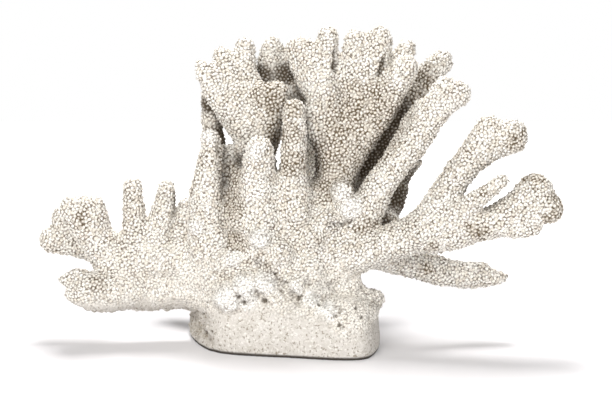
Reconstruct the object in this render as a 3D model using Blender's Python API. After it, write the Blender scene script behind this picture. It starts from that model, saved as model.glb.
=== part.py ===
"""A bleached branching coral (Pocillopora) on its flat-cut foot.

Lengths are in millimetres and built in metres. The colony is one growth. Every limb is a tapering tube
with a round tip, all limbs are fused into one skin, and thin saw cuts at the main forks part that skin
into the named pieces. X runs to the right, Y to the back and Z up; the origin is the middle of the flat
face that the foot rests on.
"""

import math

import bmesh
import bpy
from mathutils import Matrix, Vector, noise

MM = 0.001

# Driving dimensions, in millimetres.
FOOT_HEIGHT = 24.0
FOOT_BEVEL = 1.5
SAW_GAP = 0.3
SKIN_VOXEL = 2.4
SKIN_SOFTENING = 3
SKIN_GROWTH = 0.9
SKIN_TRIANGLES = 6500
LUMP_SIZE = 13.0
LUMP_HEIGHT = 0.9
RING_POINTS = 14
SPAN_STEPS = 4
FOOT_STEPS = 3
CAP_RINGS = 4
CAP_ANGLE = math.radians(85)
KNOB_STEPS = 2
CREASE = math.radians(50)

CORAL_COLOUR = (0.80, 0.76, 0.69, 1.0)
CORAL_ROUGHNESS = 0.9
FOOT_COLOUR = (0.74, 0.71, 0.66, 1.0)
FOOT_ROUGHNESS = 0.85

# The foot's outline where it meets the table, anticlockwise from above, as (x, y).
FOOT_OUTLINE = [
    (-47, -45), (2, -57), (48, -65), (65, -52), (71, -10), (66, 36),
    (40, 54), (-8, 58), (-52, 52), (-73, 26), (-67, -14),
]
# The foot's wall as (height, how far inside the outline).
FOOT_WALL = [(0.0, FOOT_BEVEL), (FOOT_BEVEL, 0.0), (9.0, 0.3), (17.0, 1.2), (FOOT_HEIGHT, 3.0)]
# Every limb is a list of stations (x, y, z, radius), from its root to its tip. Limbs are grouped by the
# piece that their tips belong to; a root lies inside the limb that it grows from.
TRUNK = [
    [(-32, -8, 20, 35), (-32, -6, 52, 35), (-28, -4, 82, 25)],
    [(18, -8, 20, 35), (18, -6, 52, 34), (22, -4, 84, 30)],
    [(-10, 22, 20, 33), (-8, 22, 58, 33), (-5, 16, 88, 26)],
    [(-7, -12, 20, 32), (-7, -11, 52, 32), (-4, -8, 86, 26)],
    [(-18, -8, 84, 26), (-18, -12, 108, 18)],
    [(4, -12, 84, 24), (6, -20, 112, 14)],
    [(28, -4, 84, 28), (34, -3, 108, 19)],
    [(35, -8, 78, 20), (60, 0, 82, 14), (78, 8, 88, 9)],
    [(-41, 0, 72, 13), (-41, -2, 108, 11.5), (-42, -3, 141, 8)],
    [(-16, -21, 72, 20), (-19, -22, 105, 17), (-19, -29, 129, 12), (-18, -32, 150, 9)],
    [(-33, -14, 72, 14), (-33, -14, 105, 12), (-33, -12, 124, 8.5)],
    [(-60, -8, 52, 22), (-76, -8, 64, 15)],
    [(-60, -8, 46, 20), (-76, -8, 40, 14)],
    [(-79, -2, 66, 11), (-77, -2, 88, 7.5), (-73, -2, 102, 6.5)],
    [(-8, -18, 84, 12), (-8, -20, 108, 9.5), (-8.5, -20, 124, 7.5)],
]
# The spread of the trunk where it stands on the foot, and the chipped knobs of its right shoulder.
APRON = [
    [(-46, -26, 27, 15), (-22, -33, 27, 15), (2, -38, 27, 15), (24, -42, 27, 15), (46, -45, 27, 14)],
    [(46, -45, 27, 15), (51, -12, 27, 15), (46, 30, 27, 14)],
    [(46, 30, 27, 14), (28, 36, 27, 14), (-8, 40, 27, 14), (-40, 34, 27, 14)],
    [(-40, 34, 27, 14), (-54, 14, 27, 13.5), (-52, -8, 27, 14), (-46, -26, 27, 15)],
    [(50, -24, 24, 16), (60, -26, 33, 11), (68, -25, 36, 6)],
    [(52, -14, 24, 15), (63, -13, 33, 9), (69, -12, 34, 6)],
    [(50, -36, 24, 14), (60, -38, 30, 8)],
]
# Worn knobs on the front of the trunk, as (x, y, z, radius).
FRONT_KNOBS = [
    (-41, -36, 42, 12), (-28, -39, 49, 11), (-13, -40, 51, 9), (-6, -42, 40, 8), (10, -38, 52, 9),
    (24, -38, 47, 10), (32, -40, 34, 10), (20, -36, 64, 9), (40, -26, 60, 12), (46, -24, 46, 11),
    (46, -24, 105, 9.5), (42, -24, 118, 7), (-18, -35, 86, 10), (-2, -37, 74, 9), (22, -32, 84, 9),
    (-46, -32, 66, 9), (-34, -32, 98, 8), (10, -32, 102, 8), (-54, -28, 52, 9), (-10, -36, 64, 8),
    (32, -30, 96, 8), (-50, -30, 84, 8),
]
LEFT_ARM = [
    [(-60, -8, 60, 17), (-90, -8, 64, 15), (-112, -8, 64, 15), (-126, -9, 62, 14)],
    [(-60, -8, 42, 15), (-90, -8, 39, 14), (-112, -10, 38, 13), (-126, -12, 39, 12)],
]
LEFT_PADDLE = [
    [(-126, -8, 64, 14), (-142, -11, 81, 12), (-152, -13, 95, 10.5), (-158, -13, 101.5, 9.5)],
    [(-131, -8, 62, 13), (-142, -11, 84, 11), (-149, -13, 101, 10.5)],
    [(-134, -8, 62, 10), (-139, -11, 84, 8.5), (-141, -12, 104, 7.5)],
    [(-132, 4, 62, 11), (-156, 11, 72.5, 10.5), (-175.5, 12, 74.5, 10.5)],
    [(-136, 4, 70, 10), (-158, 10, 82, 9.5), (-168, 11, 91, 8.5)],
]
LEFT_KNOBS = [
    [(-112, -14, 41, 13), (-135, -20, 44, 11.5), (-150, -22, 45, 9)],
    [(-120, -16, 38, 11), (-136, -22, 35, 9), (-150, -24, 35, 6)],
    [(-148, -22, 49, 7), (-158, -22, 51, 5), (-168, -22, 51, 2.5)],
    [(-146, -22, 40, 8), (-160, -22, 38, 5)],
    [(-134, -22, 34, 7), (-143, -22, 29, 4.5)],
    [(-142, -22, 46, 7), (-154, -20, 54, 5)],
]
LEFT_FINGER_OUTER = [[(-112, -8, 72, 12), (-113, -8, 89, 8), (-113, -8, 104, 7), (-113, -8, 118, 6.5)]]
LEFT_FINGER_INNER = [[(-98, -8, 70, 12), (-93, -8, 90, 8.5), (-90, -8, 105, 7.3), (-88, -8, 117, 6.3)]]
FRONT_LEFT_COLUMN = [
    [(-56, -18, 66, 15), (-58, -20, 98, 12.5), (-57, -20, 125, 10), (-54, -20, 144, 8),
     (-54, -20, 154, 6.5)],
]
FRONT_FINGER = [
    [(6, -22, 92, 12), (6, -26, 130, 9), (7, -26, 160, 8), (7.5, -26, 178, 7.6)],
]
BACK_LEFT_FINGER = [
    [(-42, 12, 80, 12), (-50, 22, 106, 9), (-54, 23, 144, 7.5), (-55.5, 24, 167, 7), (-58.5, 24, 188, 4.5)],
]
BACK_LEFT_FAN = [
    [(-14, 2, 83, 18), (-20, 5, 125, 13), (-22, 5, 151, 13)],
    [(-24, 4, 150, 11), (-43, 2, 178, 10), (-56, 0, 200, 8), (-61.5, 0, 207, 5)],
    [(-23, 6, 150, 12), (-34, 6, 181, 11), (-43, 8, 204, 9), (-46.5, 8, 214.5, 6.5)],
    [(-23, 8, 150, 12), (-28, 8, 185, 11), (-31, 12, 208, 9), (-30, 13, 221, 6.5)],
    [(-18, 14, 150, 12), (-15, 26, 187, 9.5), (-12, 30, 208, 8), (-10, 31, 220, 6.5)],
    [(-16, 14, 150, 11), (-5, 29, 186, 9), (1, 34, 212, 6.5)],
    [(-19, 3, 150, 11), (-18, 0, 172, 8.5), (-17, -1, 188, 7.5)],
    [(-16, 3, 150, 11), (-9, 0, 172, 8.5), (-4.5, -1, 188, 7.5)],
    [(-24, 3, 150, 11), (-37, 3, 177, 10), (-47, 3, 194, 8)],
    [(-23, 6, 150, 11), (-30, 6, 180, 10.5), (-36, 9, 202, 8)],
    [(-9, 12, 160, 9), (6, 22, 178, 6), (9, 24, 191, 4)],
]
CENTRE_FAN = [
    [(30, -2, 95, 20), (37, -3, 122, 11)],
    [(33, -2, 112, 10), (34, -2, 150, 10.5), (28, 0, 182, 11), (20.5, 3, 207, 9), (14, 4, 222, 6.8)],
    [(33, 2, 150, 9), (21, 6, 185, 9), (11, 8, 208, 7), (7, 8, 221, 5.5)],
    [(36, -3, 112, 11), (40, -3, 150, 12), (34, 0, 182, 9.5), (30, 2, 206, 8.5), (32, 3, 230, 6.8)],
    [(39, -3, 112, 10), (47.5, -3, 150, 11), (51.5, 2, 184, 9), (51, 4, 207, 8.5), (52, 5, 227, 7)],
    [(39, -3, 112, 9.5), (47, -3, 142, 9.5), (58.5, 0, 171, 11), (65, 3, 198, 10.5), (70, 6, 227, 9)],
    [(40, -3, 112, 9), (46, -3, 132, 8.5), (64, -4, 163, 9.5), (79, -4, 188, 9.2), (90, -4, 207, 8)],
    [(72, 4, 178, 9), (85, 12, 207, 7), (91.5, 14, 219.5, 6.8)],
    [(30, -6, 150, 9), (20, -8, 168, 6), (19, -9, 175, 5)],
    [(34, -4, 112, 10), (37, -5, 150, 11), (32, -3, 182, 10), (27, -1, 200, 8)],
    [(40, -5, 112, 10), (45, -5, 150, 11), (44, -4, 168, 8.5)],
    [(40, -5, 112, 9.5), (48.5, -5, 147, 10.5), (55, -3, 174, 10), (58, 0, 197, 8)],
    [(40, -5, 112, 9.5), (46.5, -6, 138, 8.5), (61, -4, 164, 9.5), (71, -3, 184, 7.5)],
]
BACK_RIGHT_BRANCH = [
    [(36, 20, 76, 15), (52, 34, 108, 12), (66, 40, 135, 12), (83, 46, 161, 11.5), (103, 50, 187, 10),
     (120, 50, 207, 8.5)],
]
UPPER_RIGHT_BRANCH = [
    [(44, -16, 72, 15), (59, -20, 100, 12.5), (69.5, -20, 120, 10.6), (79.5, -19, 135, 10.4),
     (94, -18, 152, 10.6), (109.5, -16, 176, 10.4), (127.5, -14, 188.5, 9)],
    [(108, -16, 173, 10), (117, -16, 194, 7.5)],
    [(82, -12, 140, 8), (92, -7, 164, 5.5), (101, -5, 181, 4)],
]
SHADED_BRANCH = [
    [(58, 8, 72, 13), (76, 22, 96, 11), (82, 26, 110, 11), (85, 27, 121, 9)],
    [(86, 27, 117, 7), (95, 28, 127, 4.5), (105, 28, 133, 1.8)],
]
RIGHT_ARM = [
    [(32, -18, 64, 20), (65, -29, 75.5, 12), (85, -31, 83, 13), (105, -31, 92, 14), (116, -31, 97, 12.5)],
]
RIGHT_UPPER_BRANCH = [
    [(107, -30, 98, 12.5), (118.5, -28, 117, 10.6), (131.5, -25, 136, 9.8), (148, -22, 150, 10.5),
     (167, -20, 156, 10.3)],
    [(137, -24, 145, 9), (149, -22, 164.5, 8.5)],
    [(152, -21, 154, 10), (167, -20, 160.5, 9.8)],
]
RIGHT_PADDLE = [
    [(110, -31, 86, 13), (139, -34, 92.5, 11), (161, -34, 101, 11), (177, -33, 110.5, 13),
     (183, -32, 118, 13)],
    [(169, -34, 104, 11), (185, -35, 107, 11.5), (193, -36, 106.5, 10)],
    [(150, -35, 95, 9), (170, -38, 92.5, 6.5), (184, -38, 91.5, 4)],
    [(114, -33, 90, 10.5), (129, -39, 105, 7.2), (144, -42, 118, 5.6), (159, -42, 129.5, 4.3)],
]
RIGHT_LOWER_BRANCH = [
    [(70, -20, 70, 11), (90, -11, 62, 9.5), (108, -7, 56, 10), (124, -4, 52, 9.5), (142.5, -2, 48.5, 8.5),
     (156, -2, 48, 5.5), (170, -2, 48.5, 1.5)],
    [(136, -3, 51, 7), (151, -4, 55, 4)],
]
REAR_FAN = [
    [(18, 32, 72, 17), (30, 57, 104, 14)],
    [(28, 60, 106, 10), (22, 74, 140, 9), (20, 80, 165, 7.5)],
    [(32, 60, 106, 10), (40, 78, 145, 9), (44, 86, 172, 7.5)],
    [(36, 57, 104, 10), (54, 70, 136, 9), (60, 80, 158, 7)],
]
REAR_LEFT_BRANCH = [
    [(-26, 30, 60, 16), (-38, 50, 86, 12), (-48, 66, 112, 9), (-54, 74, 132, 7)],
    [(-36, 48, 84, 11), (-30, 68, 115, 9), (-26, 78, 138, 7)],
]
REAR_LOW_BRANCH = [
    [(4, 38, 42, 18), (8, 70, 56, 14), (6, 92, 78, 10), (4, 100, 92, 8)],
    [(8, 70, 56, 12), (28, 88, 62, 9), (40, 98, 72, 7)],
]
REAR_RIGHT_BRANCH = [[(34, 22, 44, 17), (58, 58, 62, 12), (66, 74, 85, 10), (70, 82, 100, 7.5)]]
REAR_LEFT_LOW_BRANCH = [[(-38, 24, 42, 16), (-68, 52, 48, 12), (-88, 68, 56, 9)]]

# Each piece that is parted from the rest: its limbs, and the saw cut as centre and direction to the tip.
BRANCHES = {
    "left_arm": (LEFT_ARM, (-87, -8, 52), (-1, 0, 0)),
    "left_paddle": (LEFT_PADDLE, (-141, -2, 70), (-0.53, 0, 0.85)),
    "left_lower_knobs": (LEFT_KNOBS, (-131, -15, 43), (-0.85, 0, -0.53)),
    "left_outer_finger": (LEFT_FINGER_OUTER, (-113, -8, 92), (0, 0, 1)),
    "left_inner_finger": (LEFT_FINGER_INNER, (-93, -8, 92), (0.17, 0, 0.98)),
    "front_left_column": (FRONT_LEFT_COLUMN, (-55, -20, 137), (0, 0, 1)),
    "front_finger": (FRONT_FINGER, (6, -26, 134), (0, 0, 1)),
    "back_left_finger": (BACK_LEFT_FINGER, (-50, 22, 111), (0, 0, 1)),
    "back_left_fan": (BACK_LEFT_FAN, (-21, 5, 142), (0, 0, 1)),
    "centre_fan": (CENTRE_FAN, (39, -3, 126), (0, 0, 1)),
    "back_right_branch": (BACK_RIGHT_BRANCH, (58, 37, 119), (0.45, 0.2, 0.87)),
    "upper_right_branch": (UPPER_RIGHT_BRANCH, (71, -20, 122), (0.5, 0, 0.86)),
    "shaded_branch": (SHADED_BRANCH, (79, 24.5, 103), (0.4, 0.12, 0.9)),
    "right_arm": (RIGHT_ARM, (88, -31, 84), (0.92, 0, 0.37)),
    "right_upper_branch": (RIGHT_UPPER_BRANCH, (122, -27, 122), (-0.2, 0.4, 0.89)),
    "right_paddle": (RIGHT_PADDLE, (127, -34, 91), (0.93, 0, 0.33)),
    "right_lower_branch": (RIGHT_LOWER_BRANCH, (95, -10, 60), (0.93, 0.15, -0.33)),
    "rear_fan": (REAR_FAN, (27, 51, 96), (0.3, 0.6, 0.74)),
    "rear_left_branch": (REAR_LEFT_BRANCH, (-39, 53, 90), (-0.2, 0.75, 0.63)),
    "rear_low_branch": (REAR_LOW_BRANCH, (7, 62, 52), (0.1, 0.9, 0.42)),
    "rear_right_branch": (REAR_RIGHT_BRANCH, (50, 46, 56), (0.5, 0.72, 0.48)),
    "rear_left_low_branch": (REAR_LEFT_LOW_BRANCH, (-62, 47, 47), (-0.75, 0.62, 0.15)),
}
TRUNK_SEED = (18, -8, 60)


def clear_scene():
    """Removes what the startup file holds."""
    for thing in list(bpy.data.objects):
        bpy.data.objects.remove(thing)


def material(name, colour, roughness):
    """A plain Principled material."""
    made = bpy.data.materials.new(name)
    made.use_nodes = True
    shader = made.node_tree.nodes["Principled BSDF"]
    shader.inputs["Base Color"].default_value = colour
    shader.inputs["Roughness"].default_value = roughness
    made.diffuse_color = colour
    return made


def curved(p, q, r, s, t):
    """The number at t between q and r on a smooth curve through all four."""
    bend = (2 * p - 5 * q + 4 * r - s) * t**2
    twist = (3 * q - p - 3 * r + s) * t**3
    return 0.5 * (2 * q + (r - p) * t + bend + twist)


def spans(points, steps):
    """Points on a smooth curve that runs through all the given ones but the first and the last."""
    found = []
    for a, b, c, d in zip(points, points[1:], points[2:], points[3:]):
        for step in range(steps):
            found.append([curved(*four, step / steps) for four in zip(a, b, c, d)])
    return found


def rounded(path):
    """The path as (centre, radius, direction), with a hemisphere of rings added at each end."""
    centres = [Vector(p[:3]) for p in path]
    runs = [b - a for a, b in zip(centres, centres[1:])]
    tangents = [(before + after).normalized() for before, after in zip([runs[0], *runs], [*runs, runs[-1]])]
    rings = [(c, p[3], t) for c, p, t in zip(centres, path, tangents)]
    angles = [CAP_ANGLE * (k + 1) / CAP_RINGS for k in range(CAP_RINGS)]
    centre, radius, way = rings[0]
    before = [(centre - way * radius * math.sin(a), radius * math.cos(a), way) for a in reversed(angles)]
    centre, radius, way = rings[-1]
    after = [(centre + way * radius * math.sin(a), radius * math.cos(a), way) for a in angles]
    return [*before, *rings, *after]


def add_limb(bm, stations):
    """One closed tapering tube with round ends."""
    path = spans([stations[0], *stations, stations[-1]], SPAN_STEPS)
    rings = rounded([*path, stations[-1]])
    across = rings[0][2].orthogonal()
    loops = []
    for centre, radius, direction in rings:
        across = (across - direction * across.dot(direction)).normalized()
        side = direction.cross(across)
        turn = [2 * math.pi * k / RING_POINTS for k in range(RING_POINTS)]
        points = [centre + (across * math.cos(a) + side * math.sin(a)) * radius for a in turn]
        loops.append([bm.verts.new(point * MM) for point in points])
    for lower, upper in zip(loops, loops[1:]):
        for k in range(RING_POINTS):
            n = (k + 1) % RING_POINTS
            bm.faces.new((lower[k], lower[n], upper[n], upper[k]))
    bm.faces.new(list(reversed(loops[0])))
    bm.faces.new(loops[-1])


def add_ball(bm, x, y, z, radius):
    """A round knob."""
    place = Matrix.Translation(Vector((x, y, z)) * MM)
    bmesh.ops.create_icosphere(bm, subdivisions=KNOB_STEPS, radius=radius * MM, matrix=place)


def object_of(bm, name, surface):
    """A new object holding the bmesh, shaded smooth but for its creases."""
    mesh = bpy.data.meshes.new(name)
    bm.to_mesh(mesh)
    bm.free()
    mesh.shade_smooth()
    mesh.set_sharp_from_angle(angle=CREASE)
    mesh.materials.append(surface)
    made = bpy.data.objects.new(name, mesh)
    bpy.context.scene.collection.objects.link(made)
    return made


def apply_modifiers(thing):
    """Replaces the object's mesh by its evaluated mesh."""
    graph = bpy.context.evaluated_depsgraph_get()
    mesh = bpy.data.meshes.new_from_object(thing.evaluated_get(graph))
    thing.modifiers.clear()
    thing.data = mesh
    return thing


def fuse(thing, voxel, smoothing):
    """Joins everything in the object into one skin."""
    remesh = thing.modifiers.new("fuse", "REMESH")
    remesh.mode = "VOXEL"
    remesh.voxel_size = voxel * MM
    soften = thing.modifiers.new("soften", "SMOOTH")
    soften.factor = 0.5
    soften.iterations = smoothing
    return apply_modifiers(thing)


def raise_lumps(thing):
    """Moves the skin in and out in soft lumps, as the living coral grew it."""
    bm = bmesh.new()
    bm.from_mesh(thing.data)
    bm.normal_update()
    for vertex, normal in [(v, v.normal.copy()) for v in bm.verts]:
        lump = noise.noise(vertex.co / (LUMP_SIZE * MM)) * LUMP_HEIGHT
        vertex.co += normal * (SKIN_GROWTH + lump) * MM
    bm.to_mesh(thing.data)
    bm.free()


def thin_out(thing, triangles):
    """Cuts the skin down to about this many triangles."""
    count = sum(len(p.vertices) - 2 for p in thing.data.polygons)
    decimate = thing.modifiers.new("thin out", "DECIMATE")
    decimate.ratio = triangles / count
    decimate.use_collapse_triangulate = True
    return apply_modifiers(thing)


def largest_body(thing):
    """Keeps the largest connected body of the object's mesh."""
    bodies = bodies_of(thing.data)
    keep = max(bodies, key=len)
    bm = bmesh.new()
    bm.from_mesh(thing.data)
    bm.verts.ensure_lookup_table()
    bmesh.ops.delete(bm, geom=[v for v in bm.verts if v.index not in keep], context="VERTS")
    bm.to_mesh(thing.data)
    bm.free()


def bodies_of(mesh):
    """The sets of vertices that hang together."""
    links = [[] for _ in mesh.vertices]
    for edge in mesh.edges:
        a, b = edge.vertices
        links[a].append(b)
        links[b].append(a)
    left = set(range(len(links)))
    bodies = []
    while left:
        front = [left.pop()]
        body = set(front)
        while front:
            near = [n for n in links[front.pop()] if n in left]
            left.difference_update(near)
            body.update(near)
            front.extend(near)
        bodies.append(body)
    return bodies


def surrounds(ring, centre, forward):
    """Whether the plane's line through these faces runs around the centre."""
    aside = forward.orthogonal().normalized()
    ahead = forward.cross(aside)
    crossings = 0
    for face in ring:
        ends = []
        for edge in face.edges:
            a, b = (v.co - centre for v in edge.verts)
            da, db = a.dot(forward), b.dot(forward)
            if (da > 0) != (db > 0):
                ends.append(a + (b - a) * da / (da - db))
        heights = [e.dot(ahead) for e in ends]
        if (heights[0] > 0) != (heights[1] > 0):
            t = heights[0] / (heights[0] - heights[1])
            crossings += (ends[0] + (ends[1] - ends[0]) * t).dot(aside) > 0
    return crossings % 2 == 1


def ring_around(bm, centre, forward):
    """The closed ring of faces that the plane crosses around the centre."""
    sides = {v: (v.co - centre).dot(forward) > 0 for v in bm.verts}
    left = {f for f in bm.faces if len({sides[v] for v in f.verts}) == 2}
    rings = []
    while left:
        front = [left.pop()]
        ring = set(front)
        while front:
            fresh = {f for e in front.pop().edges for f in e.link_faces} & left
            left -= fresh
            ring |= fresh
            front.extend(fresh)
        rings.append(ring)
    return min((r for r in rings if surrounds(r, centre, forward)), key=len)


def saw_through(bm, centre, direction):
    """Parts the limb around the centre with a thin plane cut and closes both faces of the cut."""
    forward = Vector(direction).normalized()
    middle = Vector(centre) * MM
    ring = ring_around(bm, middle, forward)
    geometry = {*ring, *(e for f in ring for e in f.edges), *(v for f in ring for v in f.verts)}
    done = bmesh.ops.bisect_plane(
        bm, geom=list(geometry), dist=SAW_GAP * MM, plane_co=middle, plane_no=forward
    )
    line = [e for e in done["geom_cut"] if isinstance(e, bmesh.types.BMEdge)]
    bmesh.ops.split_edges(bm, edges=line)
    open_edges = [e for e in bm.edges if e.is_boundary]
    for vertex in {v for e in open_edges for v in e.verts}:
        inner = sum((f.calc_center_median() - middle).dot(forward) for f in vertex.link_faces)
        level = math.copysign(0.5 * SAW_GAP * MM, inner)
        vertex.co += forward * (level - (vertex.co - middle).dot(forward))
    bmesh.ops.holes_fill(bm, edges=open_edges, sides=0)


def trim_below(bm, height):
    """Cuts everything below the height away and closes the flat face."""
    level = Vector((0, 0, height * MM))
    bmesh.ops.bisect_plane(
        bm,
        geom=[*bm.verts, *bm.edges, *bm.faces],
        dist=SAW_GAP * MM,
        plane_co=level,
        plane_no=(0, 0, 1),
        clear_inner=True,
    )
    open_edges = [e for e in bm.edges if e.is_boundary]
    for vertex in {v for e in open_edges for v in e.verts}:
        vertex.co.z = height * MM
    bmesh.ops.holes_fill(bm, edges=open_edges, sides=0)


def cut_coral(thing):
    """Trims the skin flat on the foot and saws it at its forks."""
    bm = bmesh.new()
    bm.from_mesh(thing.data)
    trim_below(bm, FOOT_HEIGHT + SAW_GAP)
    for _, centre, direction in BRANCHES.values():
        saw_through(bm, centre, direction)
    bm.to_mesh(thing.data)
    bm.free()


def tip_beyond(limbs, centre, direction):
    """The tip that lies farthest beyond the saw cut."""
    tips = [Vector(limb[-1][:3]) for limb in limbs]
    return max(tips, key=lambda tip: (tip - Vector(centre)).dot(Vector(direction))) * MM


def part_at_forks(thing, surface):
    """Parts the skin into its bodies and names each after the branch whose tip it holds."""
    mesh = thing.data
    seeds = {name: tip_beyond(*branch) for name, branch in BRANCHES.items()}
    seeds["trunk"] = Vector(TRUNK_SEED) * MM
    bodies = bodies_of(mesh)
    for name, seed in seeds.items():
        nearest = min(range(len(mesh.vertices)), key=lambda n: (mesh.vertices[n].co - seed).length_squared)
        body = next(b for b in bodies if nearest in b)
        bodies.remove(body)
        bm = bmesh.new()
        bm.from_mesh(mesh)
        bm.verts.ensure_lookup_table()
        bmesh.ops.delete(bm, geom=[v for v in bm.verts if v.index not in body], context="VERTS")
        bmesh.ops.triangulate(bm, faces=bm.faces[:])
        object_of(bm, name, surface)
    bpy.data.objects.remove(thing)


def make_coral(surface):
    """Fuses the limbs into one skin and parts it at the forks."""
    bm = bmesh.new()
    for limbs in [TRUNK, APRON, *(branch[0] for branch in BRANCHES.values())]:
        for stations in limbs:
            add_limb(bm, stations)
    for knob in FRONT_KNOBS:
        add_ball(bm, *knob)
    coral = fuse(object_of(bm, "coral", surface), SKIN_VOXEL, SKIN_SOFTENING)
    largest_body(coral)
    raise_lumps(coral)
    thin_out(coral, SKIN_TRIANGLES)
    cut_coral(coral)
    part_at_forks(coral, surface)


def foot_ring(inset, height):
    """The foot's outline, drawn in by inset, at this height."""
    closed = [*FOOT_OUTLINE[-1:], *FOOT_OUTLINE, *FOOT_OUTLINE[:2]]
    points = [Vector(p) for p in spans(closed, FOOT_STEPS)]
    drawn = []
    for before, point, after in zip([points[-1], *points], points, [*points[1:], points[0]]):
        along = (after - before).normalized()
        inward = Vector((-along.y, along.x))
        drawn.append(point + inward * inset)
    return [(p.x * MM, p.y * MM, height * MM) for p in drawn]


def make_foot(surface):
    """The smooth foot under the coral."""
    bm = bmesh.new()
    loops = [[bm.verts.new(p) for p in foot_ring(inset, height)] for height, inset in FOOT_WALL]
    count = len(loops[0])
    for lower, upper in zip(loops, loops[1:]):
        for k in range(count):
            n = (k + 1) % count
            bm.faces.new((lower[k], lower[n], upper[n], upper[k]))
    bm.faces.new(list(reversed(loops[0])))
    bm.faces.new(loops[-1])
    object_of(bm, "foot", surface)


def main():
    clear_scene()
    coral_surface = material("coral", CORAL_COLOUR, CORAL_ROUGHNESS)
    foot_surface = material("foot", FOOT_COLOUR, FOOT_ROUGHNESS)
    make_coral(coral_surface)
    make_foot(foot_surface)


main()
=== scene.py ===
"""The looks of a bleached branching coral on its flat-cut foot.

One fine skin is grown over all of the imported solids, covered with the small pearl-like bumps that such a
coral has, and parted again into one piece for each solid, which it replaces. Sizes are in millimetres and
the scene is in metres.
"""

import math

import bmesh
import bpy
import numpy as np
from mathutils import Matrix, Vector, kdtree, noise
from mathutils.bvhtree import BVHTree


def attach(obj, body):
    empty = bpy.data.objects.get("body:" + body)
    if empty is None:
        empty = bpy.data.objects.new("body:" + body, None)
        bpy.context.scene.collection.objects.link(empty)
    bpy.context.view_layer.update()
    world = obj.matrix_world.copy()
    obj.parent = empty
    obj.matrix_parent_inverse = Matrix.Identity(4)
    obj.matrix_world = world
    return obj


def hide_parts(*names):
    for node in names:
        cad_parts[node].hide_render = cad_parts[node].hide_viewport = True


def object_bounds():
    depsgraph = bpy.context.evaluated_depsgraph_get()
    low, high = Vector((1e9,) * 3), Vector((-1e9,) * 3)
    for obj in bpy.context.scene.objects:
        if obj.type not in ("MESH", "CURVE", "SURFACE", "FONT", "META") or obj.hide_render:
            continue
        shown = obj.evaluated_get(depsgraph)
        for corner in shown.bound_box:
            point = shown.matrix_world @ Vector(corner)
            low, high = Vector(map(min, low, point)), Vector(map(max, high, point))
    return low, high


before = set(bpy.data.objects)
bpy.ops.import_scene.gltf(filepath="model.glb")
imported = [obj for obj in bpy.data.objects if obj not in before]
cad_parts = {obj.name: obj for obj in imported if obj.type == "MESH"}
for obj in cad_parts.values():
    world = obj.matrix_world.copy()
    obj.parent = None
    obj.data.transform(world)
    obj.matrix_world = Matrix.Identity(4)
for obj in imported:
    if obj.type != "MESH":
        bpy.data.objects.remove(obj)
cad_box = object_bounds()

MM = 0.001
SEED = 11

# The smooth body under the bumps.
CUT_CLOSING = 0.35
BODY_VOXEL = 1.6
BODY_SMOOTHING = 8
BODY_INSET = 0.75
SKIN_VOXEL = 0.8

# The bumps of the skin.
BUMP_PITCH = 1.95
BUMP_EVENING = 1
BUMP_HEIGHT = 1.9
BUMP_HEIGHT_SPREAD = (0.35, 1.25)
BUMP_ROUNDNESS = 0.7
RAGGED_SIZE = 1.5
RAGGED_SHARE = 0.25
LUMP_SIZE = 11.0
LUMP_HEIGHT = 0.8
CURD_SIZE = 5.0
CURD_HEIGHT = 1.0
KNOB_HEIGHT = 2.6
PIT_DEPTH = 2.0

# How much the distance along y counts, in the places of knobs and streaks.
KNOB_DEPTH = 0.25
STREAK_DEPTH = 0.4

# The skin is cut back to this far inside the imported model's box. Below this height it is flat.
BOX_MARGIN = 0.05
FLAT_BELOW = 0.7

# The place along y where the trunk's skin is parted into a front and a back piece.
TRUNK_MIDDLE = 0.0

# The foot's worn plaster, which reaches higher on the left than on the right.
PLASTER_TOP = 33.0
PLASTER_RIGHT = 21.0
PLASTER_FADE = 6.0
PLASTER_HEIGHT = 0.4
BLEND_BAND = (7.0, 15.0, 31.0, 42.0)
BLEND_ROUNDS = 40

# White rubbed knobs on the front, as (x, y, z, radius).
WHITE_KNOBS = [
    (-18, -40, 86, 9), (42, -28, 118, 9), (49, -30, 107, 11), (-41, -46, 42, 12), (-29, -47, 51, 11),
    (-14, -47, 54, 11), (-26, -47, 39, 9), (31, -50, 34, 9), (8, -46, 50, 7), (20, -47, 43, 8), (-57, -28, 160, 8),
    (-20, -36, 150, 8), (-64, -20, 92, 8), (-37, -40, 70, 8),
]

# Small holes in the front, as (x, z, radius).
HOLES = [
    (-33, 43, 1.6), (-29, 39, 1.8), (-15, 40, 1.9), (40, 25.5, 1.7), (33, 93, 1.2), (37, 94, 1.1), (42, 93.5, 1.3),
    (47, 92, 1.1), (10, 42, 1.2), (25, 39, 1.3), (-6, 60, 1.3), (2, 53, 1.2), (52, 36, 1.5), (56, 30, 1.4),
    (-60, 12, 1.6), (-64, 19, 1.4), (-57, 8, 1.3), (-66, 9, 1.5), (-61, 26, 1.3), (-54, 15, 1.1),
]

# Creases in the front, as (x, z, x, z, radius, depth, darkness). The darkness is painted shade in the crease. One
# that is less than fully dark is broken up.
CREASES = [
    (37, 206, 38.5, 219, 3.6, 3.5, 1.0), (70, 203, 73, 212, 3.0, 3.0, 1.0), (-19, 68, 9, 41, 6.0, 2.0, 0.55),
    (17, 53, 36, 50, 5.0, 1.5, 0.5), (59, 45, 68, 35, 7.0, 1.5, 0.5), (-47, 150, -42, 112, 7.0, 1.5, 0.7),
    (32, 96, 44, 94, 2.2, 2.0, 0.8), (45, 95, 52, 97, 2.2, 2.0, 0.8), (-34, 46, -30, 40, 4.0, 1.5, 0.6),
    (-19, 46, -13, 40, 4.0, 1.5, 0.6), (24, 44, 38, 36, 6.0, 1.5, 0.5), (-71, 18, -56, 8, 6.0, 1.5, 0.6),
]
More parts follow.
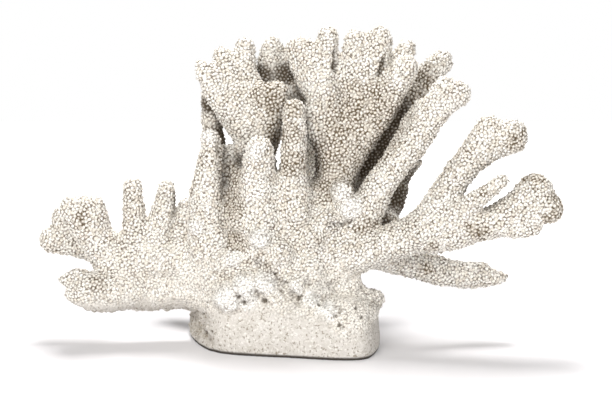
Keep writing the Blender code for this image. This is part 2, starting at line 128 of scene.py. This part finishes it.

# Deep places painted dark brown as painted shade, with some old brown growth, as (x, y, z, radius).
DEEP_SHADE_PLACES = [
    (-17, 24, 197, 14), (1, 26, 198, 14), (11, 4, 180, 14), (-56, 20, 176, 10), (22, 0, 133, 18),
    (26, -3, 151, 16), (80, 2, 176, 12), (70, 0, 158, 11), (60, 34, 128, 24),
    (72, 38, 146, 22), (84, 40, 166, 22), (80, 24, 104, 22), (88, 27, 122, 14), (-50, 20, 152, 13), (-2, -8, 140, 12),
    (-30, -6, 112, 10), (70, -2, 92, 14),
]

# Patches of browner growth, some of them painted shade on parts that lie in shade, as (x, y, z, radius).
STAINS_AND_SHADE = [
    (-9, -6, 186, 20), (-2, -6, 168, 20), (-36, -24, 118, 14), (58, -6, 165, 48), (40, -8, 130, 34),
    (-4, -4, 158, 22), (-36, -18, 76, 16), (66, 40, 140, 45),
    (84, 26, 110, 24), (-14, -34, 66, 16), (140, -38, 93, 15), (112, -36, 84, 10),
    (95, 40, 188, 24), (150, -38, 118, 14), (180, -38, 132, 15), (196, -38, 110, 14),
    (-150, -36, 94, 20), (-168, -36, 84, 16), (-135, -40, 50, 18), (105, -30, 58, 18), (135, -30, 50, 16),
    (160, -30, 46, 15), (172, -30, 156, 14), (182, -30, 143, 12), (-52, 24, 140, 26),
]

# Brown streaks down the front fingers, partly painted shade in grooves and under a branch, whose depth counts for
# less, as (x, y, z, radius).
STREAKS_AND_SHADE = [
    (5, -30, 180, 12), (5, -30, 160, 13), (6, -32, 140, 14), (-38, -26, 130, 12), (-37, -30, 106, 13),
    (-34, -34, 82, 12), (-5, -10, 172, 12), (60, -20, 92, 12),
]

# How far a place is shut in by the coral around it, which sets the painted shade in the hollows, standing also for
# some old brown growth there.
HOLLOW_REACH = 60.0
HOLLOW_RAYS = 48
HOLLOW_PITCH = 4.5
HOLLOW_START = 0.42
HOLLOW_FULL = 0.80

# Colours of the coral's skin.
PEAK_COLOUR = (0.965, 0.94, 0.89, 1)
DULL_COLOUR = (0.76, 0.70, 0.61, 1)
VALLEY_DUST_AND_SHADE_COLOUR = (0.105, 0.076, 0.046, 1)
STAIN_AND_SHADE_COLOUR = (0.13, 0.095, 0.055, 1)
HOLLOW_SHADE_COLOUR = (0.06, 0.042, 0.024, 1)
WORN_COLOUR = (0.86, 0.825, 0.765, 1)
WHITE_COLOUR = (0.95, 0.935, 0.90, 1)

# Colours of the foot, of the painted shade in its pits and holes, and of the painted contact shadow under it.
PLASTER_COLOUR = (0.66, 0.63, 0.59, 1)
PLASTER_DULL = (0.52, 0.485, 0.43, 1)
SPECK_COLOUR = (0.26, 0.22, 0.165, 1)
PIT_SHADE_COLOUR = (0.10, 0.08, 0.055, 1)
FLECK_COLOUR = (0.90, 0.88, 0.84, 1)
ROUGH_END_AND_SHADE_COLOUR = (0.42, 0.385, 0.33, 1)
CONTACT_SHADOW_COLOUR = (0.05, 0.042, 0.035, 1)
GRIME_COLOUR = (0.66, 0.62, 0.56, 1)

# The photograph's camera: where it looks, from how far and from how high.
LOOK_AT = (15.75, 0.0, 103.8)
CAMERA_DISTANCE = 1275.0
CAMERA_ELEVATION = 10.0
CAMERA_LENS = 100.0

# The studio, in metres: each lamp's place, what it aims at, its two sides, its power in watts and its colour.
LAMPS = {
    "key": ((-0.45, -1.3, 1.05), (0, 0, 0.1), (1.3, 0.9), 26.0, (1, 0.985, 0.96)),
    "top": ((-0.05, 0.5, 1.4), (0, 0, 0.1), (0.5, 0.5), 27.0, (1, 1, 1)),
    "fill": ((1.0, -1.25, 0.6), (0, 0, 0.08), (1.2, 1.0), 6.5, (1, 1, 1)),
}

# How bright the white surround glows.
SURROUND = 0.13

# The floor: half its side, how bright it glows near and far, between these distances, and its two greys.
FLOOR_REACH = 1.3
FLOOR_GLOW = 0.19
FLOOR_FAR = 0.9
FLOOR_FADE = (0.16, 0.5)
FLOOR_GREYS = ((0.60, 0.585, 0.595, 1), (0.62, 0.605, 0.615, 1))


def welded(node):
    """The node's mesh as a bmesh with its corners joined."""
    bm = bmesh.new()
    bm.from_mesh(node.data)
    bmesh.ops.remove_doubles(bm, verts=bm.verts[:], dist=1e-6)
    bm.normal_update()
    return bm


def linked(name, mesh):
    """A new object in the scene."""
    made = bpy.data.objects.new(name, mesh)
    bpy.context.scene.collection.objects.link(made)
    return made


def evaluated(thing):
    """The object's mesh after its modifiers, as a new mesh."""
    graph = bpy.context.evaluated_depsgraph_get()
    mesh = bpy.data.meshes.new_from_object(thing.evaluated_get(graph))
    bpy.data.objects.remove(thing)
    return mesh


def all_solids(growth):
    """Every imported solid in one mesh, each grown outwards by this many millimetres to close the saw cuts."""
    whole = bmesh.new()
    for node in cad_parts.values():
        bm = welded(node)
        for vertex, normal in [(v, v.normal.copy()) for v in bm.verts]:
            vertex.co += normal * growth * MM
        mesh = bpy.data.meshes.new("grown")
        bm.to_mesh(mesh)
        bm.free()
        whole.from_mesh(mesh)
        bpy.data.meshes.remove(mesh)
    mesh = bpy.data.meshes.new("solids")
    whole.to_mesh(mesh)
    whole.free()
    return mesh


def remeshed(mesh, voxel, smoothing):
    """The mesh with one even skin."""
    thing = linked("skin", mesh)
    fuse = thing.modifiers.new("fuse", "REMESH")
    fuse.mode = "VOXEL"
    fuse.voxel_size = voxel * MM
    if smoothing:
        soften = thing.modifiers.new("soften", "SMOOTH")
        soften.factor = 0.5
        soften.iterations = smoothing
    return evaluated(thing)


def points_of(mesh):
    """Vertex positions in millimetres."""
    co = np.empty(len(mesh.vertices) * 3, np.float32)
    mesh.vertices.foreach_get("co", co)
    return co.reshape(-1, 3).astype(np.float64) / MM


def normals_of(mesh):
    """Vertex normals."""
    n = np.empty(len(mesh.vertices) * 3, np.float32)
    mesh.vertex_normals.foreach_get("vector", n)
    return n.reshape(-1, 3).astype(np.float64)


def put_points(mesh, points):
    """Writes vertex positions given in millimetres."""
    mesh.vertices.foreach_set("co", (points * MM).astype(np.float32).ravel())
    mesh.update()


def ramp(value, start, end):
    """0 at start, 1 at end, and smooth between them."""
    t = np.clip((value - start) / (end - start), 0, 1)
    return t * t * (3 - 2 * t)


def noise_at(points, size, octaves=1):
    """Soft noise of this size, about -1 to 1, at each point."""
    total = np.zeros(len(points))
    share = 1.0
    for octave in range(octaves):
        scaled = points * (2**octave / size) + 17.3 * octave
        total += share * np.array([noise.noise(p) for p in scaled.tolist()])
        share *= 0.5
    return total


def spread_sites(points, pitch, seed):
    """Indices of points that lie at least a pitch apart and leave no room for more."""
    order = np.random.default_rng(seed).permutation(len(points))
    cells = np.floor(points / pitch).astype(int).tolist()
    places = points.tolist()
    near = [(i, j, k) for i in (-1, 0, 1) for j in (-1, 0, 1) for k in (-1, 0, 1)]
    taken = {}
    chosen = []
    for n in order.tolist():
        a, b, c = cells[n]
        x, y, z = places[n]
        for i, j, k in near:
            free = True
            for px, py, pz in taken.get((a + i, b + j, c + k), ()):
                if (px - x) ** 2 + (py - y) ** 2 + (pz - z) ** 2 < pitch * pitch:
                    free = False
                    break
            if not free:
                break
        if free:
            taken.setdefault((a, b, c), []).append((x, y, z))
            chosen.append(n)
    return np.array(chosen)


def nearest_two(points, sites):
    """For each point, the numbers of its two nearest sites and the distances to them."""
    tree = tree_of(sites)
    near = np.array([[(i, d) for _, i, d in tree.find_n(p, 2)] for p in points.tolist()])
    return near[:, :, 0].astype(int), near[:, :, 1]


def evened(points, sites, rounds):
    """The sites moved to the middles of the points nearest to them, which spaces them evenly."""
    for _ in range(rounds):
        tree = tree_of(sites)
        nearest = np.array([tree.find(p)[1] for p in points.tolist()])
        count = np.bincount(nearest, minlength=len(sites))
        sums = [np.bincount(nearest, weights=points[:, axis], minlength=len(sites)) for axis in range(3)]
        sites = np.array(sums).T / np.maximum(count, 1)[:, None]
    return sites


def tree_of(points):
    """A search tree over the points."""
    tree = kdtree.KDTree(len(points))
    for n, p in enumerate(points.tolist()):
        tree.insert(p, n)
    tree.balance()
    return tree


def shut_in(points, normals, tree, reach, rays):
    """The share of rays around each normal that meet the coral within reach."""
    rng = np.random.default_rng(SEED)
    spread = rng.normal(size=(rays, 3))
    spread /= np.linalg.norm(spread, axis=1, keepdims=True)
    found = np.zeros(len(points))
    for n, (p, normal) in enumerate(zip(points, normals)):
        aims = spread * 0.95 + normal
        start = Vector(p + normal * 2.0)
        hits = sum(tree.ray_cast(start, Vector(a), reach)[0] is not None for a in aims)
        found[n] = hits / rays
    return found


def worn_share(points):
    """1 on the worn foot of the colony, 0 on its crisp fans and finger tips."""
    x, y, z = points.T
    low = 1 - ramp(z, 36, 84)
    middle = 1 - ramp(np.abs(x + 5), 62, 96)
    front = 1 - ramp(y, -5, 30)
    arm = 0.5 * ramp(-x, 70, 92) * (1 - ramp(-x, 122, 140)) * (1 - ramp(z, 60, 80))
    return np.clip(low * middle * (0.35 + 0.65 * front) + arm, 0, 1)


def shifted(points, size, octaves, reach):
    """The points moved by noise of this size, which frays the edge of what is placed by them."""
    return points + (noise_at(points, size, octaves) * reach)[:, None]


def near_share(points, places, depth=1.0, start=0.4, end=1.0):
    """1 near the middle of any of the places, given as (x, y, z, radius), and 0 beyond their edges.

    A depth below 1 makes the distance along y count for less. Start and end are shares of the radius.
    """
    share = np.zeros(len(points))
    for x, y, z, radius in places:
        away = np.linalg.norm((points - (x, y, z)) * (1, depth, 1), axis=1)
        share = np.maximum(share, 1 - ramp(away, start * radius, end * radius))
    return share


def crease_share(points, normals, crease):
    """1 along the crease on surfaces that face the front, and 0 beyond its radius."""
    x0, z0, x1, z1, radius = crease[:5]
    x, y, z = points.T
    along = ((x - x0) * (x1 - x0) + (z - z0) * (z1 - z0)) / ((x1 - x0) ** 2 + (z1 - z0) ** 2)
    along = np.clip(along, 0, 1)
    away = np.hypot(x - x0 - along * (x1 - x0), z - z0 - along * (z1 - z0))
    return (1 - ramp(away, 0.25 * radius, radius)) * ramp(-normals[:, 1], 0.05, 0.35) * ramp(-y, -4, 2)


def knob_share(points):
    """1 on the face of each rubbed knob, and 0 beyond its edge."""
    return near_share(points, WHITE_KNOBS, KNOB_DEPTH, 0.45, 1.05)


def creases_of(points, normals):
    """How dark each point is painted from the creases, as painted shade, and how far they sink it."""
    wavy = shifted(points, 4.0, 2, 1.5)
    broken = ramp(noise_at(points, 3.2, 2), -0.35, 0.4)
    dark = np.zeros(len(points))
    sunk = np.zeros(len(points))
    for crease in CREASES:
        depth, darkness = crease[5:]
        share = crease_share(wavy, normals, crease)
        dark = np.maximum(dark, share * darkness * (broken if darkness < 1 else 1))
        sunk = np.maximum(sunk, depth * share)
    return dark, sunk


def pits_of(points, normals, worn, rough, grit):
    """1 in the pits of the worn growth, of the foot's rough end and of the holes."""
    x, y, z = points.T
    pits = ramp(noise_at(points, 4.2, 2), 0.55, 0.7) * np.maximum(0.6 * worn, rough) * ramp(z, 2, 7)
    front = (normals[:, 1] < -0.1) * (y < -20)
    for hole_x, hole_z, radius in HOLES:
        away = np.hypot(x - hole_x, z - hole_z) + 0.35 * grit
        pits = np.maximum(pits, (1 - ramp(away, 0.4 * radius, 1.2 * radius)) * front)
    return pits


def melted(mesh):
    """The mesh with the step between the foot and the coral melted away."""
    thing = linked("body", mesh)
    group = thing.vertex_groups.new(name="band")
    low, full, end, high = BLEND_BAND
    z = points_of(mesh)[:, 2]
    weights = np.round(ramp(z, low, full) * (1 - ramp(z, end, high)), 1)
    for weight in np.unique(weights[weights > 0]):
        group.add(np.flatnonzero(weights == weight).tolist(), float(weight), "REPLACE")
    soften = thing.modifiers.new("melt", "SMOOTH")
    soften.factor = 0.5
    soften.iterations = BLEND_ROUNDS
    soften.vertex_group = "band"
    return evaluated(thing)


def hollow_of(sites, site_normals, view):
    """How far each site is shut in, found on wider sites and spread smoothly between them."""
    chosen = spread_sites(sites, HOLLOW_PITCH, SEED)
    known = shut_in(sites[chosen], site_normals[chosen], view, HOLLOW_REACH, HOLLOW_RAYS)
    tree = tree_of(sites[chosen])
    found = np.zeros(len(sites))
    for n, p in enumerate(sites.tolist()):
        near = tree.find_n(p, 5)
        share = [1 / (d + 1.0) for _, _, d in near]
        found[n] = sum(w * known[i] for w, (_, i, _) in zip(share, near)) / sum(share)
    return found


def grow_skin():
    """The bumpy skin over the whole coral, with what its materials need stored on its points."""
    body = melted(remeshed(all_solids(CUT_CLOSING), BODY_VOXEL, BODY_SMOOTHING))
    points, normals = points_of(body), normals_of(body)
    plaster = 1 - ramp(points[:, 2], BLEND_BAND[1], BLEND_BAND[3])
    lumps = noise_at(points, LUMP_SIZE) * LUMP_HEIGHT * (1 - plaster)
    lumps += KNOB_HEIGHT * knob_share(points)
    put_points(body, points + normals * (lumps - BODY_INSET * (1 - plaster))[:, None])
    skin = remeshed(body, SKIN_VOXEL, 1)
    points, normals = points_of(skin), normals_of(skin)

    x, z = points[:, 0], points[:, 2]
    edge = noise_at(points, 13.0, 3) * 6.0
    top = PLASTER_TOP + (PLASTER_RIGHT - PLASTER_TOP) * ramp(x, 10, 45)
    plaster = 1 - ramp(z + edge, top - PLASTER_FADE, top + PLASTER_FADE)
    worn = worn_share(shifted(points, 22.0, 2, 14.0)) * (1 - plaster)
    white = knob_share(shifted(points, 5.0, 2, 1.8)) * (1 - 0.5 * plaster)
    rubbed = np.maximum(worn, 0.55 * white)

    chosen = spread_sites(points, BUMP_PITCH, SEED)
    site_normals = normals[chosen]
    sites = evened(points, points[chosen], BUMP_EVENING)
    near, far = nearest_two(points, sites)
    rng = np.random.default_rng(SEED)
    heights = rng.uniform(*BUMP_HEIGHT_SPREAD, len(sites))
    tones = rng.uniform(0.0, 1.0, len(sites))
    across = far[:, 0] / np.maximum(far[:, 1], 1e-6)
    across = np.clip(across + RAGGED_SHARE * noise_at(points, RAGGED_SIZE), 0, 1)
    dome = (1 - across) ** BUMP_ROUNDNESS

    curds = noise_at(points, CURD_SIZE, 3)
    grit = noise_at(points, 1.7, 2)
    rough = ramp(-x, 48, 64) * (1 - ramp(z, 24, 32)) * ramp(z, 1.5, 6)
    pits = pits_of(points, normals, worn, rough, grit)
    crease_shade, sunk = creases_of(points, normals)
    rise = BUMP_HEIGHT * dome * heights[near[:, 0]] * (1 - 0.5 * rubbed)
    rise += rubbed * (0.6 + curds * CURD_HEIGHT + 0.2 * grit)
    smooth = PLASTER_HEIGHT * (noise_at(points, 7.0, 3) * 0.9 + 0.45 * grit)
    smooth += rough * (noise_at(points, 3.4, 3) * 2.2 - 0.4) + 0.25 * dome
    rise = rise * (1 - plaster) + smooth * plaster - PIT_DEPTH * pits - sunk
    moved = points + normals * rise[:, None]
    low, high = (np.array(c) / MM for c in cad_box)
    flat = z < FLAT_BELOW

    # This cuts back about 120 points at the outermost tips, by 1.3 mm at most, and 90 on the foot's front.
    moved = np.clip(moved, low + BOX_MARGIN, high - BOX_MARGIN)
    moved[flat, 2] = 0.0

    view = BVHTree.FromPolygons(points.tolist(), [p.vertices[:] for p in skin.polygons])
    # How far each point is shut in, which sets the painted shade in the hollows.
    hollow_shade = hollow_of(sites, site_normals, view)[near].mean(axis=1)
    put_points(skin, moved)
    facts = {
        "valley": across,
        "worn": worn,
        "white": white,
        "plaster": plaster,
        "hollow_shade": hollow_shade,
        "pits": pits,
        "rough": rough,
        "tone": tones[near[:, 0]],
        # Brown stains, and painted shade where the listed patches and streaks lie in shade.
        "stain_and_shade": np.maximum(
            near_share(shifted(points, 15.0, 2, 8.0), STAINS_AND_SHADE),
            near_share(shifted(points, 8.0, 2, 3.0), STREAKS_AND_SHADE, STREAK_DEPTH),
        ),
        # Painted shade in the deep places and along the creases.
        "deep_shade": np.maximum(near_share(shifted(points, 6.0, 2, 2.5), DEEP_SHADE_PLACES), crease_shade),
    }
    return skin, facts


def node_triangles():
    """Every packed triangle in one search tree, with the name of its node."""
    places, faces, owners = [], [], []
    for name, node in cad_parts.items():
        start = len(places)
        places += [tuple(v.co / MM) for v in node.data.vertices]
        for polygon in node.data.polygons:
            faces.append([start + v for v in polygon.vertices])
            owners.append(name)
    return BVHTree.FromPolygons(places, faces), owners


def part_skin(skin, facts):
    """Parts the skin into one piece for each solid, which it replaces, and two pieces for the large trunk."""
    tree, owners = node_triangles()
    points = points_of(skin)
    corners = np.empty(len(skin.loops), np.int32)
    skin.loops.foreach_get("vertex_index", corners)
    faces = corners.reshape(-1, 4)
    centres = points[faces].mean(axis=1)
    names = sorted(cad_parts)
    number = {name: n for n, name in enumerate(names)}
    owner = np.array([number[owners[tree.find_nearest(c)[2]]] for c in centres.tolist()])
    made = []
    parts = [(name, name, owner == number[name]) for name in names if name != "trunk"]
    front = centres[:, 1] < TRUNK_MIDDLE
    parts.append(("trunk", "trunk_front", (owner == number["trunk"]) & front))
    parts.append(("trunk", "trunk_back", (owner == number["trunk"]) & ~front))
    for name, title, chosen in parts:
        mine = faces[chosen]
        used, local = np.unique(mine, return_inverse=True)
        mesh = bpy.data.meshes.new(title)
        mesh.from_pydata((points[used] * MM).tolist(), [], local.reshape(-1, 4).tolist())
        for fact, values in facts.items():
            layer = mesh.attributes.new(fact, "FLOAT", "POINT")
            layer.data.foreach_set("value", values[used].astype(np.float32))
        mesh.polygons.foreach_set("use_smooth", [True] * len(mesh.polygons))
        mesh.update()
        made.append(linked(title + "_skin", mesh))
        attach(made[-1], "root")
        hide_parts(name)
    return made


class Nodes:
    """Short calls for building a material's node tree."""

    def __init__(self, name):
        self.material = bpy.data.materials.new(name)
        self.material.use_nodes = True
        self.tree = self.material.node_tree
        self.shader = self.tree.nodes["Principled BSDF"]

    def add(self, kind, inputs=None, **settings):
        node = self.tree.nodes.new(kind)
        for key, value in settings.items():
            setattr(node, key, value)
        for key, value in (inputs or {}).items():
            self.feed(node.inputs[key], value)
        return node

    def feed(self, socket, value):
        if isinstance(value, bpy.types.NodeSocket):
            self.tree.links.new(value, socket)
        else:
            socket.default_value = value

    def fact(self, name):
        return self.add("ShaderNodeAttribute", attribute_name=name).outputs["Fac"]

    def maths(self, operation, a, b=0.0):
        return self.add("ShaderNodeMath", {0: a, 1: b}, operation=operation).outputs[0]

    def span(self, value, low, high, out_low=0.0, out_high=1.0):
        given = {"Value": value, "From Min": low, "From Max": high, "To Min": out_low, "To Max": out_high}
        return self.add("ShaderNodeMapRange", given, interpolation_type="SMOOTHSTEP").outputs[0]

    def mix(self, share, a, b, blend="MIX"):
        node = self.add("ShaderNodeMix", data_type="RGBA", blend_type=blend)
        self.feed(node.inputs["Factor"], share)
        self.feed(node.inputs[6], a)
        self.feed(node.inputs[7], b)
        return node.outputs[2]

    def cloud(self, size, detail=2.0, roughness=0.5):
        place = self.add("ShaderNodeTexCoord").outputs["Object"]
        given = {"Vector": place, "Scale": 1 / (size * MM), "Detail": detail, "Roughness": roughness}
        return self.add("ShaderNodeTexNoise", given).outputs["Fac"]


def skin_material():
    """Cream bumps with dust and painted shade between them, painted shade in the hollows, deep places and creases,
    white where rubbed, and plaster on the foot.
    """
    n = Nodes("coral skin")
    valley, worn, white, hollow_shade = n.fact("valley"), n.fact("worn"), n.fact("white"), n.fact("hollow_shade")
    plaster, pits, tone = n.fact("plaster"), n.fact("pits"), n.fact("tone")
    rubbed = n.maths("MAXIMUM", worn, white)
    stain_and_shade, rough = n.fact("stain_and_shade"), n.fact("rough")
    cloud = n.cloud(26, 3)
    fine = n.cloud(1.1, 3, 0.6)

    # The bumps, from cream to duller, worn or rubbed white.
    skin = n.mix(n.span(tone, 0.35, 1.0, 0.0, 0.75), PEAK_COLOUR, DULL_COLOUR)
    skin = n.mix(n.span(cloud, 0.45, 0.7, 0.0, 0.25), skin, DULL_COLOUR)
    # Duller over the stains and the painted shade.
    skin = n.mix(n.span(stain_and_shade, 0, 1, 0, 0.4), skin, DULL_COLOUR)
    skin = n.mix(n.span(worn, 0, 1, 0, 0.5), skin, WORN_COLOUR)
    skin = n.mix(n.span(white, 0, 1, 0, 0.95), skin, WHITE_COLOUR)

    # Dust and painted shade between the bumps, and fine mottling.
    start = n.span(stain_and_shade, 0, 1, 0.40, 0.18)
    dust_and_shade = n.maths("MULTIPLY", n.span(valley, start, 0.84), n.span(cloud, 0.3, 0.65, 0.85, 1.0))
    dust_and_shade = n.maths("MULTIPLY", dust_and_shade, n.span(stain_and_shade, 0.0, 1.0, 0.85, 1.1))
    dust_and_shade = n.maths("MULTIPLY", dust_and_shade, n.span(n.cloud(2.4, 2, 0.6), 0.38, 0.58, 0.45, 1.15))
    dust_and_shade = n.maths("MULTIPLY", dust_and_shade, n.span(worn, 0.0, 1.0, 1.0, 0.5))
    dust_and_shade = n.maths("MULTIPLY", dust_and_shade, n.span(white, 0.0, 1.0, 1.0, 0.75))
    skin = n.mix(dust_and_shade, skin, n.mix(n.span(stain_and_shade, 0.2, 1.0, 0.0, 0.7), VALLEY_DUST_AND_SHADE_COLOUR, STAIN_AND_SHADE_COLOUR))
    mottle = n.maths("MULTIPLY", n.span(n.cloud(1.25, 2, 0.6), 0.52, 0.64), n.span(rubbed, 0, 1, 0.65, 0.7))
    skin = n.mix(mottle, skin, VALLEY_DUST_AND_SHADE_COLOUR)

    # Painted shade in the hollows and the deep places, with some old brown growth.
    deep_shade = n.maths("MULTIPLY", n.fact("deep_shade"), n.span(valley, 0.1, 0.6, 0.5, 0.95))
    shade = n.maths("MULTIPLY", n.span(hollow_shade, HOLLOW_START, HOLLOW_FULL, 0.0, 0.9), n.span(white, 0, 1, 1, 0.3))
    shade = n.maths("MAXIMUM", shade, deep_shade)
    skin = n.mix(shade, skin, HOLLOW_SHADE_COLOUR)

    # The foot's stone, with pale flecks, a rough end painted darker, partly as painted shade under the arm, and dark
    # specks.
    speck = n.span(n.cloud(2.2, 2, 0.7), 0.575, 0.63)
    grain = n.span(n.cloud(9, 4, 0.75), 0.38, 0.66, 0.0, 0.6)
    fleck = n.span(n.cloud(2.0, 3, 0.7), 0.52, 0.64, 0.0, 0.6)
    stone = n.mix(grain, PLASTER_COLOUR, PLASTER_DULL)
    stone = n.mix(fleck, stone, FLECK_COLOUR)
    # The rough end's darker stone, with painted shade under the arm.
    rough_patches_and_shade = n.maths("MULTIPLY", rough, n.span(n.cloud(4.5, 3, 0.7), 0.4, 0.6, 0.15, 0.8))
    stone = n.mix(rough_patches_and_shade, stone, ROUGH_END_AND_SHADE_COLOUR)
    stone = n.mix(n.maths("MULTIPLY", speck, n.span(rough, 0, 1, 0.75, 0.95)), stone, SPECK_COLOUR)
    skin = n.mix(plaster, skin, stone)
    # Painted shade of the deep places, where they reach the foot, in the speck colour.
    skin = n.mix(n.maths("MULTIPLY", n.maths("MULTIPLY", deep_shade, plaster), 0.8), skin, SPECK_COLOUR)
    # Painted shade in the pits and holes.
    skin = n.mix(n.maths("MULTIPLY", pits, 0.85), skin, PIT_SHADE_COLOUR)

    # The painted contact shadow along the bottom edge, and a little grime over all.
    place = n.add("ShaderNodeTexCoord").outputs["Object"]
    high = n.add("ShaderNodeSeparateXYZ", {0: place}).outputs["Z"]
    skin = n.mix(n.span(high, 1.3 * MM, 3.2 * MM, 0.97, 0.0), skin, CONTACT_SHADOW_COLOUR)
    skin = n.mix(n.span(fine, 0.4, 0.75, 0.0, 0.25), skin, n.mix(1.0, skin, GRIME_COLOUR, "MULTIPLY"))
    n.feed(n.shader.inputs["Base Color"], skin)
    n.feed(n.shader.inputs["Roughness"], n.span(fine, 0.3, 0.7, 0.82, 0.95))
    n.shader.inputs["Specular IOR Level"].default_value = 0.3
    bump = n.add("ShaderNodeBump", {"Strength": 0.6, "Distance": 0.5 * MM, "Height": fine})
    n.feed(n.shader.inputs["Normal"], bump.outputs["Normal"])
    return n.material


def floor_and_backdrop():
    """A pale floor that fades to white away from the coral."""
    mesh = bpy.data.meshes.new("floor")
    corners = [(-1, -1), (1, -1), (1, 1), (-1, 1)]
    mesh.from_pydata([(x * FLOOR_REACH, y * FLOOR_REACH, 0) for x, y in corners], [], [(0, 1, 2, 3)])
    floor = linked("floor", mesh)
    n = Nodes("floor")
    n.shader.inputs["Roughness"].default_value = 0.6
    n.feed(n.shader.inputs["Base Color"], n.mix(n.cloud(400, 2), *FLOOR_GREYS))
    n.shader.inputs["Emission Color"].default_value = (1, 1, 1, 1)
    place = n.add("ShaderNodeTexCoord").outputs["Object"]
    away = n.add("ShaderNodeVectorMath", {0: place}, operation="LENGTH").outputs["Value"]
    n.feed(n.shader.inputs["Emission Strength"], n.span(away, *FLOOR_FADE, FLOOR_GLOW, FLOOR_FAR))
    mesh.materials.append(n.material)


def lamp(name, place, aim, size, power, colour):
    """A soft rectangular light that the camera doesn't see."""
    data = bpy.data.lights.new(name, "AREA")
    data.shape = "RECTANGLE"
    data.size, data.size_y = size
    data.energy = power
    data.color = colour
    made = bpy.data.objects.new(name, data)
    made.location = place
    made.visible_camera = False
    made.rotation_euler = (Vector(aim) - Vector(place)).to_track_quat("-Z", "Y").to_euler()
    bpy.context.scene.collection.objects.link(made)


def light_scene():
    """Soft studio light from above and in front, and a bright surround."""
    for name, (place, aim, size, power, colour) in LAMPS.items():
        lamp(name, place, aim, size, power, colour)
    world = bpy.data.worlds.new("studio")
    bpy.context.scene.world = world
    world.use_nodes = True
    tree = world.node_tree
    lit = tree.nodes["Background"]
    lit.inputs["Color"].default_value = (1, 1, 1, 1)
    lit.inputs["Strength"].default_value = SURROUND
    seen = tree.nodes.new("ShaderNodeBackground")
    seen.inputs["Color"].default_value = (1, 1, 1, 1)
    path = tree.nodes.new("ShaderNodeLightPath")
    blend = tree.nodes.new("ShaderNodeMixShader")
    tree.links.new(path.outputs["Is Camera Ray"], blend.inputs[0])
    tree.links.new(lit.outputs[0], blend.inputs[1])
    tree.links.new(seen.outputs[0], blend.inputs[2])
    tree.links.new(blend.outputs[0], tree.nodes["World Output"].inputs["Surface"])
    view = bpy.context.scene.view_settings
    view.view_transform = "Standard"
    view.look = "None"
    view.exposure = 0.0


def place_camera():
    """The photograph's long lens, a little above the coral."""
    data = bpy.data.cameras.new("camera")
    data.lens = CAMERA_LENS
    data.sensor_width = 36.0
    data.clip_end = 50
    tilt = math.radians(CAMERA_ELEVATION)
    back = Vector((0, -math.cos(tilt), math.sin(tilt)))
    camera = bpy.data.objects.new("camera", data)
    camera.location = (Vector(LOOK_AT) + back * CAMERA_DISTANCE) * MM
    camera.rotation_euler = (-back).to_track_quat("-Z", "Y").to_euler()
    bpy.context.scene.collection.objects.link(camera)
    bpy.context.scene.camera = camera


def main():
    place_camera()
    light_scene()
    floor_and_backdrop()
    skin, facts = grow_skin()
    surface = skin_material()
    for piece in part_skin(skin, facts):
        piece.data.materials.append(surface)


main()
